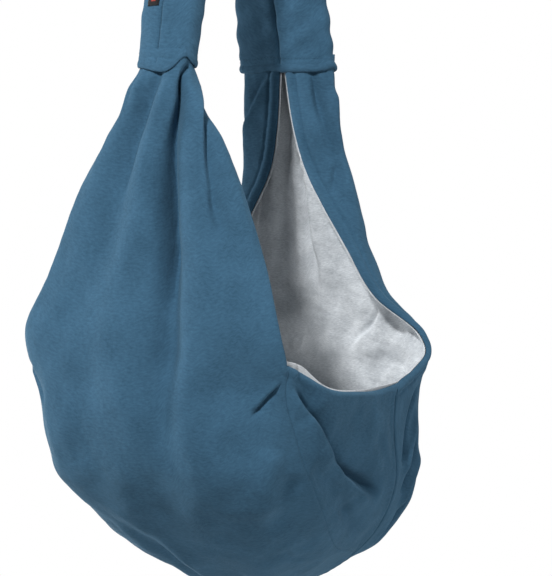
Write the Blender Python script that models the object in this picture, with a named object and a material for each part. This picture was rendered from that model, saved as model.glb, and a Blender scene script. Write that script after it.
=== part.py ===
"""Soft sling carrier: a hammock-shaped pouch hung from both ends of one wide padded strap.

The frame has X across the carrier, Y along the strap loop and Z up. The origin is on the
underside of the strap's highest point, where it rests on a shoulder or a peg. The near end
is towards -Y and the far end towards +Y.

The pouch is three nested layers (shell, wadding, lining), each cut in four panels: two
long end panels that rise to a gathered neck and meet in a seam under the base, and two
triangular side panels with the low edge of the mouth on top. Every layer is the outside
surface of the pouch, moved inwards.
"""

import math

import bpy
import numpy as np

MM = 0.001

# Overall sizes, in metres.
TIP_Z = -0.345  # where the strap ends and the gathered necks begin
TIP_Y = 0.106  # half the distance between the two ends of the strap
NECK_HEIGHT = 0.042
BELLY_Z = -0.690
BASE_Z = -0.823
BELLY_HALF = (0.135, 0.166)
BELLY_POWER = 3.5
BOWL_POWER = 1.72
BASE_SHIFT = (0.0, 0.060)  # the hanging base sits towards the far end
SHIFT_START_Z = -0.630

# Sections of an end panel from the strap (0) down to the belly (1), in millimetres. Each is
# a level superellipse round x = 0, opened towards the inside of the pouch. "edge" is where
# it stops: on the mouth down to the last but three rows, and on a side seam below.
SECTION_KEYS = ("edge_z", "middle_z", "half_width", "half_depth", "centre_y", "edge_x", "edge_y", "power")
FAR_SECTIONS = {
    0.00: (-345, -345, 48, 13, 106, 3, 93, 2.6),
    0.12: (-398, -398, 53, 14, 112, 9, 99, 2.5),
    0.22: (-433, -436, 58, 16, 118, 18, 103, 2.4),
    0.34: (-468, -474, 64, 20, 122, 36, 105, 2.4),
    0.46: (-510, -515, 76, 25, 125, 61, 109, 2.4),
    0.58: (-555, -558, 97, 28, 129, 90, 116, 2.4),
    0.68: (-586, -586, 127, 27, 135, 127, 132, 2.4),
    0.74: (-604, -602, 138, 44, 120, 138, 122, 2.6),
    0.79: (-618, -616, 137, 78, 88, 135, 98, 3.8),
    0.84: (-627, -632, 136, 116, 51, 134, 72, 4.0),
    0.92: (-655, -656, 135, 148, 18, 134, 60, 3.8),
    1.00: (-690, -690, 135, 166, 0, 134, 52, 3.5),
}
NEAR_SECTIONS = {
    0.00: (-345, -345, 24, 17, 106, 8, 89, 2.6),
    0.08: (-375, -375, 36, 17, 109, 22, 94, 2.4),
    0.18: (-407, -407, 58, 17, 113, 47, 100, 2.3),
    0.28: (-442, -443, 78, 18, 117, 70, 107, 2.3),
    0.38: (-478, -480, 93, 20, 120, 88, 112, 2.3),
    0.50: (-530, -530, 113, 24, 125, 111, 120, 2.3),
    0.62: (-574, -570, 130, 27, 131, 130, 131, 2.4),
    0.70: (-598, -594, 133, 44, 117, 132, 125, 2.5),
    0.80: (-628, -624, 134, 90, 74, 131, 120, 2.7),
    0.90: (-659, -657, 135, 140, 26, 130, 110, 3.3),
    1.00: (-690, -690, 135, 166, 0, 128, 102, 3.5),
}
SEAM_TOP = {1: 0.84, -1: 0.70}  # the section where each end panel meets the side panels
OPEN_ROWS = {1: (0.22, 0.34, 0.46, 0.58, 0.68, 0.74, 0.79), -1: (0.18, 0.28, 0.38, 0.50, 0.62)}
SEAM_ROWS = (0.0, 0.35, 0.7, 1.0)  # from the top of a side seam to the belly
BOWL_ROWS = (0.2, 0.4, 0.6, 0.8, 1.0)  # from the belly to the seam under the base
MOUTH_AT = (0.0, 0.28, 0.6, 1.0)  # along a side panel, from its near to its far seam
MOUTH_SAG = (0, -16, -11, 0)  # millimetres
POINT_RADIUS, POINT_DEG = 0.22, 8.0  # the low point of a side panel, on the belly's disc
POINT_BLUNT = 0.3
END_COLUMNS = 18
HEM_AT = 0.94  # the share of a half panel where its turned hem begins
SIDE_COLUMNS = 6
SECTION_UNTIL, NORMAL_FROM = 0.48, 0.70  # how layers are set in: by section, then by normal

# Depth of each layer's two faces below the outside of the pouch.
SHELL = (0.0, 0.0012)
WADDING = (0.0015, 0.0042)
LINING = (0.0045, 0.0055)
HEM_DEPTH = 0.0041  # the shell's edge is folded in as far as the lining
CLEAR = 0.0003
PLEAT_DEPTH = 0.0016
NECK_DEPTH = 0.0055
NECK_ROWS = 4
NECK_GAP = 0.004  # between a neck and the panels, in section numbers

# The strap.
TOP_RADIUS = 0.034  # of the middle line over the top
TOP_DEPTH = 0.028  # of the strap at the top
STRAP_AT = (0.0, 0.25, 0.5, 0.75, 1.0)
STRAP_HALF_WIDTH = (0.0262, 0.031, 0.037, 0.043, 0.0497)
STRAP_HALF_DEPTH = (0.0190, 0.016, TOP_DEPTH / 2, 0.0135, 0.0142)
STRAP_POWER = 2.5
LEVEL_LENGTH = 0.07  # the section turns level over this length at either end
COVER_DEPTH = 0.0013
CORE_DEPTH = 0.0017
LEG_STATIONS = 4
ARCH_STATIONS = 9
HALF_STEPS = 8
CUFF_LENGTH = 0.009
CUFF_BULGE = 0.0024
CUFF_ROWS = 5
LABEL_X = (-0.0150, -0.0030)
LABEL_ABOVE_TIP = (0.0500, 0.0750)
LABEL_DEPTH = 0.0008
LABEL_LIFT = 0.0005
LABEL_GRID = (5, 4)

# Colour and roughness of each cloth.
PETROL = ((0.045, 0.120, 0.185), 0.92)
PETROL_DEEP = ((0.035, 0.095, 0.150), 0.94)
MARL = ((0.470, 0.500, 0.530), 0.95)
FOAM = ((0.800, 0.790, 0.740), 0.90)
FIBRE = ((0.860, 0.860, 0.850), 0.97)
INK = ((0.012, 0.012, 0.014), 0.60)


# ---------------------------------------------------------------- surface of the pouch
def through(knots, values, at):
    """A smooth curve through the values at the knots."""
    knots, values = np.asarray(knots, float), np.asarray(values, float)
    slope = np.gradient(values, knots, axis=0)
    i = np.clip(np.searchsorted(knots, at) - 1, 0, len(knots) - 2)
    step = knots[i + 1] - knots[i]
    t = (at - knots[i]) / step
    if values.ndim > 1:
        t, step = t[..., None], step[..., None]
    start = (2 * t**3 - 3 * t**2 + 1) * values[i] + (t**3 - 2 * t**2 + t) * step * slope[i]
    stop = (3 * t**2 - 2 * t**3) * values[i + 1] + (t**3 - t**2) * step * slope[i + 1]
    return start + stop


def smooth(t):
    t = np.clip(t, 0, 1)
    return t * t * (3 - 2 * t)


def bend(value, power):
    return np.sign(value) * np.abs(value) ** power


def swing(points):
    """The lower the cloth hangs, the further it is from the middle of the strap."""
    low = smooth((SHIFT_START_Z - points[..., 2]) / (SHIFT_START_Z - BASE_Z))[..., None]
    return points + low * np.array([*BASE_SHIFT, 0.0])


def sections(end, r):
    table = FAR_SECTIONS if end > 0 else NEAR_SECTIONS
    values = np.array(list(table.values()), float)
    values[:, :-1] *= MM
    return dict(zip(SECTION_KEYS, np.moveaxis(through(list(table), values, r), -1, 0)))


def edge_angle(s):
    """Where a section stops, as an angle from the middle of its inner side."""
    side = bend(s["edge_x"] / s["half_width"], s["power"] / 2)
    back = bend((s["centre_y"] - s["edge_y"]) / s["half_depth"], s["power"] / 2)
    return np.arctan2(side, back)


def end_wall(end, f, r):
    """A point of an end panel above the belly, and the direction straight out of it there.

    f is -1 and 1 at the panel's edges, r is 0 at the strap and 1 at the belly.
    """
    f, r = np.broadcast_arrays(np.asarray(f, float), np.asarray(r, float))
    s = sections(end, r)
    a = np.pi - (np.pi - edge_angle(s)) * np.abs(f)
    out_x = bend(np.sin(a), 2 / s["power"]) * np.sign(f)
    out_y = -bend(np.cos(a), 2 / s["power"])
    x = s["half_width"] * out_x
    y = s["centre_y"] + s["half_depth"] * out_y
    z = s["middle_z"] + (s["edge_z"] - s["middle_z"]) * smooth(np.abs(f))
    out = np.stack([out_x, out_y * end, np.zeros_like(x)], -1)
    return swing(np.stack([x, y * end, z], -1)), out


def bowl(uv):
    """The outside below the belly, at a point of the disc whose rim is the belly."""
    angle, v = np.arctan2(uv[..., 1], uv[..., 0]), np.clip(np.hypot(uv[..., 0], uv[..., 1]), 0, 1)
    x = BELLY_HALF[0] * bend(np.cos(angle), 2 / BELLY_POWER)
    y = BELLY_HALF[1] * bend(np.sin(angle), 2 / BELLY_POWER)
    grow = np.sin(v * np.pi / 2) ** (2 / BOWL_POWER)
    rise = 1 - np.cos(v * np.pi / 2) ** (2 / BOWL_POWER)
    return swing(np.stack([grow * x, grow * y, BASE_Z + (BELLY_Z - BASE_Z) * rise], -1))


def polar(angle, radius):
    return np.stack([radius * np.cos(angle), radius * np.sin(angle)], -1)


def belly_edge(end):
    return float(edge_angle(sections(end, np.array(1.0)))) - np.pi / 2


def end_bowl(end, f, t):
    """t runs from the belly to the seam under the base."""
    f, t = np.broadcast_arrays(np.asarray(f, float), np.asarray(t, float))
    angle = np.pi / 2 - (np.pi / 2 - belly_edge(end)) * np.abs(f)
    head = polar(angle, 1.0) * np.stack([np.where(f < 0, -1.0, 1.0), np.full_like(f, end)], -1)
    point = polar(math.radians(POINT_DEG), 2 * POINT_RADIUS)
    foot = np.stack([point[0] * f, np.full_like(f, point[1])], -1)
    return bowl(head + (foot - head) * t[..., None])


def side_wall(side, g, t):
    """A side panel above the belly. g runs from its near to its far seam, t downwards."""
    g, t = np.broadcast_arrays(np.asarray(g, float), np.asarray(t, float))
    ends = []
    step = 0.01
    for end in (-1, 1):
        r = SEAM_TOP[end] + (1 - SEAM_TOP[end]) * t
        edge = end_wall(end, side, r)[0]
        along = edge - end_wall(end, side * (1 - step), r)[0]
        ends.append((edge, along / np.linalg.norm(along, axis=-1, keepdims=True)))
    (a, leave), (b, arrive) = ends
    reach = np.linalg.norm(b - a, axis=-1, keepdims=True)
    h = g[..., None]
    points = (2 * h**3 - 3 * h**2 + 1) * a + (h**3 - 2 * h**2 + h) * reach * leave
    points = points + (3 * h**2 - 2 * h**3) * b - (h**3 - h**2) * reach * arrive
    sag = through(MOUTH_AT, np.array(MOUTH_SAG) * MM, g) * (1 - t) ** 2
    return points + np.stack([0 * sag, 0 * sag, sag], -1)


def side_bowl(side, g, t):
    g, t = np.broadcast_arrays(np.asarray(g, float), np.asarray(t, float))
    angle = -belly_edge(-1) + (belly_edge(1) + belly_edge(-1)) * g
    head = polar(angle, 1.0)
    point = polar(math.radians(POINT_DEG), 2 * POINT_RADIUS)
    return bowl((head + (point - head) * t[..., None]) * np.array([side, 1]))


def end_rows(end):
    """Section numbers down to the belly, from just under the neck."""
    r = np.linspace(0, 1, 501)
    neck = np.interp(-TIP_Z + NECK_HEIGHT, -sections(end, r)["middle_z"], r)
    seam = SEAM_TOP[end] + (1 - SEAM_TOP[end]) * np.array(SEAM_ROWS)
    return neck, np.concatenate([OPEN_ROWS[end], seam])


def end_grid(end, rows, bowl_rows, columns):
    """Points and outward directions, a row for each section and each step under the belly."""
    wall, out = end_wall(end, columns, np.asarray(rows)[:, None])
    low = end_bowl(end, columns, np.asarray(bowl_rows)[:, None])
    return np.concatenate([wall, low]), np.concatenate([out, np.zeros_like(low)])


def side_grid(side, rows, bowl_rows, columns):
    g = np.linspace(0, 1, columns + 1)
    wall = side_wall(side, g, np.asarray(rows)[:, None])
    low = side_bowl(side, g, np.asarray(bowl_rows)[:, None])
    # Ease the wall onto the bowl's rim.
    miss = side_bowl(side, g, 0.0) - wall[-1]
    wall = wall + miss * (np.asarray(rows) ** 2)[:, None, None]
    return np.concatenate([wall, low])


def facing(grids):
    """Outward normals at the points of grids that share some of their border points."""
    points = np.concatenate([g.reshape(-1, 3) for g in grids])
    same = np.unique(np.round(points, 6), axis=0, return_inverse=True)[1].reshape(-1)
    total = np.zeros((same.max() + 1, 3))
    start = 0
    for grid in grids:
        rows, columns = grid.shape[:2]
        number = start + np.arange(rows * columns).reshape(rows, columns)
        start += rows * columns
        faces = quads(number, False)
        a, b, c = (points[faces[:, i]] for i in range(3))
        normal = np.cross(b - a, c - a)
        # Outwards is away from the middle of the pouch's plan, or downwards.
        middle = (a + b + c) / 3 - np.array([0, 0, BELLY_Z / 2 + TIP_Z / 2])
        if np.sum(normal * middle) < 0:
            normal = -normal
        for corner in faces.T:
            np.add.at(total, same[corner], normal)
    total = (total / np.maximum(np.linalg.norm(total, axis=1, keepdims=True), 1e-12))[same]
    cuts = np.cumsum([g.shape[0] * g.shape[1] for g in grids])[:-1]
    return [t.reshape(g.shape) for t, g in zip(np.split(total, cuts), grids)]


def quads(grid, wrap):
    """Triangles over a grid of point numbers, all cut along the same diagonal."""
    if wrap:
        grid = np.column_stack([grid, grid[:, 0]])
    a, b, c, d = grid[:-1, :-1], grid[:-1, 1:], grid[1:, 1:], grid[1:, :-1]
    return np.concatenate([np.stack([a, b, c], -1).reshape(-1, 3), np.stack([a, c, d], -1).reshape(-1, 3)])


# ---------------------------------------------------------------- making bodies
def paint(name, look):
    colour, roughness = look
    material = bpy.data.materials.new(name)
    material.use_nodes = True
    shader = material.node_tree.nodes["Principled BSDF"]
    shader.inputs["Base Color"].default_value = (*colour, 1)
    shader.inputs["Roughness"].default_value = roughness
    shader.inputs["Metallic"].default_value = 0.0
    return material


def body(name, points, faces, look, origin):
    """A named object whose faces look outwards."""
    points, faces = np.asarray(points), np.asarray(faces)
    a, b, c = (points[faces[:, i]] for i in range(3))
    if np.sum(a * np.cross(b, c)) < 0:
        faces = faces[:, ::-1]
    mesh = bpy.data.meshes.new(name)
    mesh.from_pydata((points - origin).tolist(), [], faces.tolist())
    mesh.shade_smooth()
    mesh.set_sharp_from_angle(angle=math.radians(50))
    made = bpy.data.objects.new(name, mesh)
    made.location = origin
    made.data.materials.append(paint(name + "_cloth", look))
    PARTS.objects.link(made)


def plate(name, outer, inner, look, origin, wrap=False):
    """A closed body between two grids of points with the same rows and columns."""
    rows, columns = outer.shape[:2]
    out = np.arange(rows * columns).reshape(rows, columns)
    back = out + rows * columns
    faces = [quads(out, wrap), quads(back, wrap)[:, ::-1]]
    faces += [quads(np.stack([back[0], out[0]]), wrap), quads(np.stack([out[-1], back[-1]]), wrap)]
    if not wrap:
        faces += [quads(np.stack([out[:, 0], back[:, 0]]), False)]
        faces += [quads(np.stack([back[:, -1], out[:, -1]]), False)]
    points = np.concatenate([outer.reshape(-1, 3), inner.reshape(-1, 3)])
    body(name, points, np.concatenate(faces), look, origin)


def rod(name, rings, look, origin):
    """A solid through a row of rings, with a flat fan on either end."""
    rows, columns = rings.shape[:2]
    grid = np.arange(rows * columns).reshape(rows, columns)
    points = np.concatenate([rings.reshape(-1, 3), rings[[0, -1]].mean(axis=1)])
    first, last = rows * columns, rows * columns + 1
    around = np.arange(columns)
    after = (around + 1) % columns
    caps = [np.stack([np.full(columns, first), grid[0][after], grid[0][around]], -1)]
    caps += [np.stack([np.full(columns, last), grid[-1][around], grid[-1][after]], -1)]
    body(name, points, np.concatenate([quads(grid, True), *caps]), look, origin)


# ---------------------------------------------------------------- the strap
def strap_line():
    """Angle of the leaning legs from vertical, their length and the length of the arch."""
    rise = TOP_DEPTH / 2 - TOP_RADIUS - TIP_Z
    reach = math.hypot(TIP_Y, rise)
    lean = math.atan2(TIP_Y, rise) - math.asin(TOP_RADIUS / reach)
    leg = math.sqrt(reach**2 - TOP_RADIUS**2)
    return lean, leg, TOP_RADIUS * (math.pi - 2 * lean)


def strap_rings(distance, angle, depth):
    """Points of the strap at each distance from the near tip and each angle of its section."""
    lean, leg, arch = strap_line()
    total = 2 * leg + arch
    distance = np.asarray(distance, float)
    # The outward normal turns from straight back at the near leg to straight on at the far.
    start = lean - np.pi / 2
    turn = start + np.clip((distance - leg) / TOP_RADIUS, 0, arch / TOP_RADIUS)
    before, after = np.minimum(distance, leg), np.maximum(distance - leg - arch, 0)
    y = -TIP_Y + (before + after) * math.sin(lean) + TOP_RADIUS * (np.sin(turn) - math.sin(start))
    z = TIP_Z + (before - after) * math.cos(lean) + TOP_RADIUS * (np.cos(turn) - math.cos(start))
    level = smooth(1 - np.minimum(distance, total - distance) / LEVEL_LENGTH)
    normal = turn + level * np.where(distance < total / 2, -lean, lean)
    half_width = through(STRAP_AT, STRAP_HALF_WIDTH, distance / total) - depth
    half_depth = through(STRAP_AT, STRAP_HALF_DEPTH, distance / total) - depth
    x = half_width[:, None] * bend(np.cos(angle), 2 / STRAP_POWER)
    out = half_depth[:, None] * bend(np.sin(angle), 2 / STRAP_POWER)
    y = y[:, None] + out * np.sin(normal)[:, None]
    return np.stack([x, y, z[:, None] + out * np.cos(normal)[:, None]], -1)


def make_strap():
    lean, leg, arch = strap_line()
    total = 2 * leg + arch
    # Closer together where the section turns, and one station just above each cuff.
    turning = [0, CUFF_LENGTH + 2 * CLEAR, LEVEL_LENGTH / 2]
    legs = np.append(turning, np.linspace(LEVEL_LENGTH, leg, LEG_STATIONS))
    over = leg + arch * np.linspace(0, 1, ARCH_STATIONS)[1:-1]
    stations = np.concatenate([legs, over, total - legs[::-1]])
    stations[[0, -1]] += np.array([CLEAR, -CLEAR])
    seam = CLEAR / STRAP_HALF_WIDTH[0]
    fixed = np.zeros(3)
    for name, middle in (("right", 0.0), ("left", np.pi)):
        angle = middle + np.linspace(-np.pi / 2 + seam, np.pi / 2 - seam, HALF_STEPS + 1)
        outer, inner = strap_rings(stations, angle, 0), strap_rings(stations, angle, COVER_DEPTH)
        plate("strap_cover_" + name, outer, inner, PETROL, fixed)
    around = np.linspace(0, 2 * np.pi, 2 * HALF_STEPS + 1)[:-1]
    rod("strap_padding", strap_rings(stations, around, CORE_DEPTH), FOAM, fixed)
    share = np.linspace(0, 1, CUFF_ROWS + 1)
    bulge = 2 * CLEAR + CUFF_BULGE * np.sin(np.pi * share) ** 0.7
    for name, start, way in (("near", 0, 1), ("far", total, -1)):
        along = start + way * (CLEAR + CUFF_LENGTH * share)
        outer = strap_rings(along, around, -bulge)
        inner = strap_rings(along, around, -CLEAR)
        plate(name + "_cuff", outer, inner, PETROL_DEEP, fixed, wrap=True)
    # The label lies on the outward face of the near leg.
    columns, rows = LABEL_GRID
    along = np.linspace(*LABEL_ABOVE_TIP, rows) / math.cos(lean)
    share = np.linspace(*LABEL_X, columns) / through(STRAP_AT, STRAP_HALF_WIDTH, along[0] / total)
    angle = np.arccos(bend(share, STRAP_POWER / 2))
    outer = strap_rings(along, angle, -LABEL_LIFT - LABEL_DEPTH)
    plate("strap_label", outer, strap_rings(along, angle, -LABEL_LIFT), INK, fixed)


# ---------------------------------------------------------------- the pouch
def drawn_in(points, left, right, bottom):
    """The grid with some of its borders moved in, so that seams keep a gap."""
    points = points.copy()
    borders = [(left, np.s_[:, 0], np.s_[:, 1]), (right, np.s_[:, -1], np.s_[:, -2])]
    for wanted, edge, beside in borders + [(bottom, np.s_[-1], np.s_[-2])]:
        if wanted:
            way = points[beside] - points[edge]
            length = np.linalg.norm(way, axis=-1, keepdims=True)
            points[edge] += way / np.maximum(length, CLEAR) * CLEAR
    return points


def make_panel(name, points, inwards, hem, origin):
    """The three layers of one panel. hem marks the rows and columns on the mouth's edge."""
    rows_hem, columns_hem = hem
    is_end = columns_hem is not None
    for layer, (front, back), look in (
        ("shell", SHELL, PETROL), ("wadding", WADDING, FIBRE), ("lining", LINING, MARL),
    ):
        depth = np.full(points.shape[:2], back)
        if layer == "shell":
            depth[rows_hem, columns_hem if is_end else slice(None)] = HEM_DEPTH
        outer = points + inwards * front
        inner = points + inwards * depth[..., None]
        if layer == "wadding":
            kept = np.s_[:, 1:-1] if is_end else np.s_[1:]
            outer, inner = outer[kept], inner[kept]
        outer, inner = drawn_in(outer, True, True, is_end), drawn_in(inner, True, True, is_end)
        if not is_end:
            for face in (outer, inner):
                face[-1] += (face[-2] - face[-1]) * POINT_BLUNT
        plate(f"{layer}_{name}", outer, inner, look, origin)


def make_pouch():
    origin = np.array([0, 0, TIP_Z])
    columns = np.concatenate([[-1], np.linspace(-HEM_AT, HEM_AT, END_COLUMNS - 1), [1]])
    grids, outs, weights, opens = [], [], [], []
    for end in (-1, 1):
        neck, rows = end_rows(end)
        rows = np.append(neck, rows)
        points, out = end_grid(end, rows, BOWL_ROWS, columns)
        weight = smooth((rows - SECTION_UNTIL) / (NORMAL_FROM - SECTION_UNTIL))
        weight = np.append(weight, np.ones(len(BOWL_ROWS)))
        grids.append(points)
        outs.append(out)
        weights.append(weight[:, None, None])
        opens.append(np.flatnonzero(rows < SEAM_TOP[end] + CLEAR))
    for side in (-1, 1):
        grids.append(side_grid(side, SEAM_ROWS, BOWL_ROWS, SIDE_COLUMNS))
    normals = facing(grids)
    for i, name in enumerate(("near_end", "far_end")):
        inwards = -(outs[i] + (normals[i] - outs[i]) * weights[i])
        make_panel(name, grids[i], inwards, (opens[i][:, None], [0, -1]), origin)
    for name, points, normal in zip(("left_side", "right_side"), grids[2:], normals[2:]):
        make_panel(name, points, -normal, ([0], None), origin)


def make_neck(name, end, origin):
    """The gathered neck: every layer bunched in pleats between the panels and the strap."""
    neck = end_rows(end)[0]
    columns = np.linspace(-1, 1, END_COLUMNS + 1)
    rise = np.linspace(1, 0, NECK_ROWS + 1)[:, None]
    points, out = end_wall(end, columns, (neck - NECK_GAP) * (1 - rise))
    pleat = PLEAT_DEPTH * rise * (np.arange(len(columns)) % 2)
    outer = points - out * pleat[..., None]
    inner = outer - out * NECK_DEPTH
    plate(name + "_gather", outer, inner, PETROL, origin)


for old in list(bpy.data.objects):
    bpy.data.objects.remove(old, do_unlink=True)
PARTS = bpy.data.collections.new("soft_sling_carrier")
bpy.context.scene.collection.children.link(PARTS)
make_strap()
make_pouch()
for neck_name, neck_end in (("near", -1), ("far", 1)):
    make_neck(neck_name, neck_end, np.array([0, 0, TIP_Z]))
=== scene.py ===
"""Soft sling carrier: fleece shell, marled jersey lining and padded strap, in full detail.

The cloth is built on the same form as the CAD model, on fine grids, and then shaped by
rules: a rolled edge round the mouth, grooves along the seams, folds that follow paths over
the cloth, pleats at the gathered necks and the soft unevenness of wadded fleece.
"""

import math

import bmesh
import bpy
import numpy as np
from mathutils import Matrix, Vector
from mathutils.kdtree import KDTree


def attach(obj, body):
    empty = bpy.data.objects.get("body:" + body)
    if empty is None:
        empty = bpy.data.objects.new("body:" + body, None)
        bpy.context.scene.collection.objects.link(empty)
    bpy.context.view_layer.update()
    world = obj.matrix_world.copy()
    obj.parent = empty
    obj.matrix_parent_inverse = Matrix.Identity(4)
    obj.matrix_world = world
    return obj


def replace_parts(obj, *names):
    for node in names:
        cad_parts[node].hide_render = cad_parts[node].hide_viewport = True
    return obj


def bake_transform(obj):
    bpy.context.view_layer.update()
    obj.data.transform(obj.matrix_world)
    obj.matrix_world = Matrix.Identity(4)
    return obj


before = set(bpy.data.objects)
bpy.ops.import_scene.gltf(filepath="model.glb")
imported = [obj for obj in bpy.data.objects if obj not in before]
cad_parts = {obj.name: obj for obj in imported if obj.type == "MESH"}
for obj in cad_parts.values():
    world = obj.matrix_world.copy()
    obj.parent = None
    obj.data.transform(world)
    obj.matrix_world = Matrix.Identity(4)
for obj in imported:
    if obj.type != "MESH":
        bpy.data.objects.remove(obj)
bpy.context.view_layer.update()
MM = 0.001

# ---------------------------------------------------------------- form of the pouch
TIP_Z, TIP_Y = -0.345, 0.106
BELLY_Z, BASE_Z = -0.690, -0.823
BELLY_HALF = (0.135, 0.166)
BELLY_POWER, BOWL_POWER = 3.5, 1.72
BASE_SHIFT = (0.0, 0.060)
SHIFT_START_Z = -0.630

# Sections of the two end panels, in millimetres but for the last, by their section number.
SECTION_KEYS = ("edge_z", "middle_z", "half_width", "half_depth", "centre_y", "edge_x", "edge_y",
                "power")
FAR_SECTIONS = {
    0.00: (-345, -345, 48, 13, 106, 3, 93, 2.6),
    0.12: (-398, -398, 53, 14, 112, 9, 99, 2.5),
    0.22: (-433, -436, 58, 16, 118, 18, 103, 2.4),
    0.34: (-468, -474, 64, 20, 122, 36, 105, 2.4),
    0.46: (-510, -515, 76, 25, 125, 61, 109, 2.4),
    0.58: (-555, -558, 97, 28, 129, 90, 116, 2.4),
    0.68: (-586, -586, 127, 27, 135, 127, 132, 2.4),
    0.74: (-604, -602, 138, 44, 120, 138, 122, 2.6),
    0.79: (-618, -616, 137, 78, 88, 135, 98, 3.8),
    0.84: (-627, -632, 136, 116, 51, 134, 72, 4.0),
    0.92: (-655, -656, 135, 148, 18, 134, 60, 3.8),
    1.00: (-690, -690, 135, 166, 0, 134, 52, 3.5),
}
NEAR_SECTIONS = {
    0.00: (-345, -345, 24, 17, 106, 8, 89, 2.6),
    0.08: (-375, -375, 36, 17, 109, 22, 94, 2.4),
    0.18: (-407, -407, 58, 17, 113, 47, 100, 2.3),
    0.28: (-442, -443, 78, 18, 117, 70, 107, 2.3),
    0.38: (-478, -480, 93, 20, 120, 88, 112, 2.3),
    0.50: (-530, -530, 113, 24, 125, 111, 120, 2.3),
    0.62: (-574, -570, 130, 27, 131, 130, 131, 2.4),
    0.70: (-598, -594, 133, 44, 117, 132, 125, 2.5),
    0.80: (-628, -624, 134, 90, 74, 131, 120, 2.7),
    0.90: (-659, -657, 135, 140, 26, 130, 110, 3.3),
    1.00: (-690, -690, 135, 166, 0, 128, 102, 3.5),
}
SEAM_TOP = {1: 0.84, -1: 0.70}  # section number where the seams beside each end panel start
MOUTH_AT = (0.0, 0.28, 0.6, 1.0)
MOUTH_SAG = (0, -16, -11, 0)  # millimetres
POINT_RADIUS, POINT_DEG = 0.22, 8.0  # where three panels meet under the base, on the disc
SECTION_UNTIL, NORMAL_FROM = 0.48, 0.70

# ---------------------------------------------------------------- form of the strap
TOP_RADIUS, TOP_DEPTH = 0.034, 0.028
STRAP_AT = (0.0, 0.25, 0.5, 0.75, 1.0)
STRAP_HALF_WIDTH = (0.0262, 0.031, 0.037, 0.043, 0.0497)
STRAP_HALF_DEPTH = (0.0190, 0.016, TOP_DEPTH / 2, 0.0135, 0.0142)
STRAP_POWER = 2.5
LEVEL_LENGTH = 0.07


def through(knots, values, at):
    """A smooth curve through the values at the knots."""
    knots, values = np.asarray(knots, float), np.asarray(values, float)
    slope = np.gradient(values, knots, axis=0)
    i = np.clip(np.searchsorted(knots, at) - 1, 0, len(knots) - 2)
    step = knots[i + 1] - knots[i]
    t = (at - knots[i]) / step
    if values.ndim > 1:
        t, step = t[..., None], step[..., None]
    start = (2 * t**3 - 3 * t**2 + 1) * values[i] + (t**3 - 2 * t**2 + t) * step * slope[i]
    stop = (3 * t**2 - 2 * t**3) * values[i + 1] + (t**3 - t**2) * step * slope[i + 1]
    return start + stop


def smooth(t):
    t = np.clip(t, 0, 1)
    return t * t * (3 - 2 * t)


def bend(value, power):
    return np.sign(value) * np.abs(value) ** power


def unit(v):
    return v / np.maximum(np.linalg.norm(v, axis=-1, keepdims=True), 1e-12)


def bump(x, width):
    """1 at x = 0, falling to 0 like a bell."""
    return np.exp(-((x / width) ** 2))


def rounding(x, radius):
    """1 at an edge, x = 0, falling to 0 at the radius like a quarter of a circle."""
    return 1 - np.sqrt(1 - np.clip(1 - x / radius, 0, 1) ** 2)


def swing(points):
    low = smooth((SHIFT_START_Z - points[..., 2]) / (SHIFT_START_Z - BASE_Z))[..., None]
    return points + low * np.array([*BASE_SHIFT, 0.0])


def sections(end, r):
    table = FAR_SECTIONS if end > 0 else NEAR_SECTIONS
    values = np.array(list(table.values()), float)
    values[:, :-1] *= MM
    return dict(zip(SECTION_KEYS, np.moveaxis(through(list(table), values, r), -1, 0)))


def edge_angle(s):
    side = bend(s["edge_x"] / s["half_width"], s["power"] / 2)
    back = bend((s["centre_y"] - s["edge_y"]) / s["half_depth"], s["power"] / 2)
    return np.arctan2(side, back)


def end_wall(end, f, r):
    """A point of an end panel above the belly, and the direction straight out of it there."""
    f, r = np.broadcast_arrays(np.asarray(f, float), np.asarray(r, float))
    s = sections(end, r)
    a = np.pi - (np.pi - edge_angle(s)) * np.abs(f)
    out_x = bend(np.sin(a), 2 / s["power"]) * np.sign(f)
    out_y = -bend(np.cos(a), 2 / s["power"])
    x = s["half_width"] * out_x
    y = s["centre_y"] + s["half_depth"] * out_y
    z = s["middle_z"] + (s["edge_z"] - s["middle_z"]) * smooth(np.abs(f))
    out = np.stack([out_x, out_y * end, np.zeros_like(x)], -1)
    return swing(np.stack([x, y * end, z], -1)), out


def bowl(uv):
    """The outside below the belly, at a point of the disc whose rim is the belly."""
    angle, v = np.arctan2(uv[..., 1], uv[..., 0]), np.clip(np.hypot(uv[..., 0], uv[..., 1]), 0, 1)
    x = BELLY_HALF[0] * bend(np.cos(angle), 2 / BELLY_POWER)
    y = BELLY_HALF[1] * bend(np.sin(angle), 2 / BELLY_POWER)
    grow = np.sin(v * np.pi / 2) ** (2 / BOWL_POWER)
    rise = 1 - np.cos(v * np.pi / 2) ** (2 / BOWL_POWER)
    return swing(np.stack([grow * x, grow * y, BASE_Z + (BELLY_Z - BASE_Z) * rise], -1))


def polar(angle, radius):
    return np.stack([radius * np.cos(angle), radius * np.sin(angle)], -1)


POINT = polar(math.radians(POINT_DEG), 2 * POINT_RADIUS)


def belly_edge(end):
    return float(edge_angle(sections(end, np.array(1.0)))) - np.pi / 2


def end_bowl(end, f, t):
    """t runs from the belly to the seam under the base."""
    f, t = np.broadcast_arrays(np.asarray(f, float), np.asarray(t, float))
    angle = np.pi / 2 - (np.pi / 2 - belly_edge(end)) * np.abs(f)
    head = polar(angle, 1.0) * np.stack([np.where(f < 0, -1.0, 1.0), np.full_like(f, end)], -1)
    foot = np.stack([POINT[0] * f, np.full_like(f, POINT[1])], -1)
    return bowl(head + (foot - head) * t[..., None])


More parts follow.
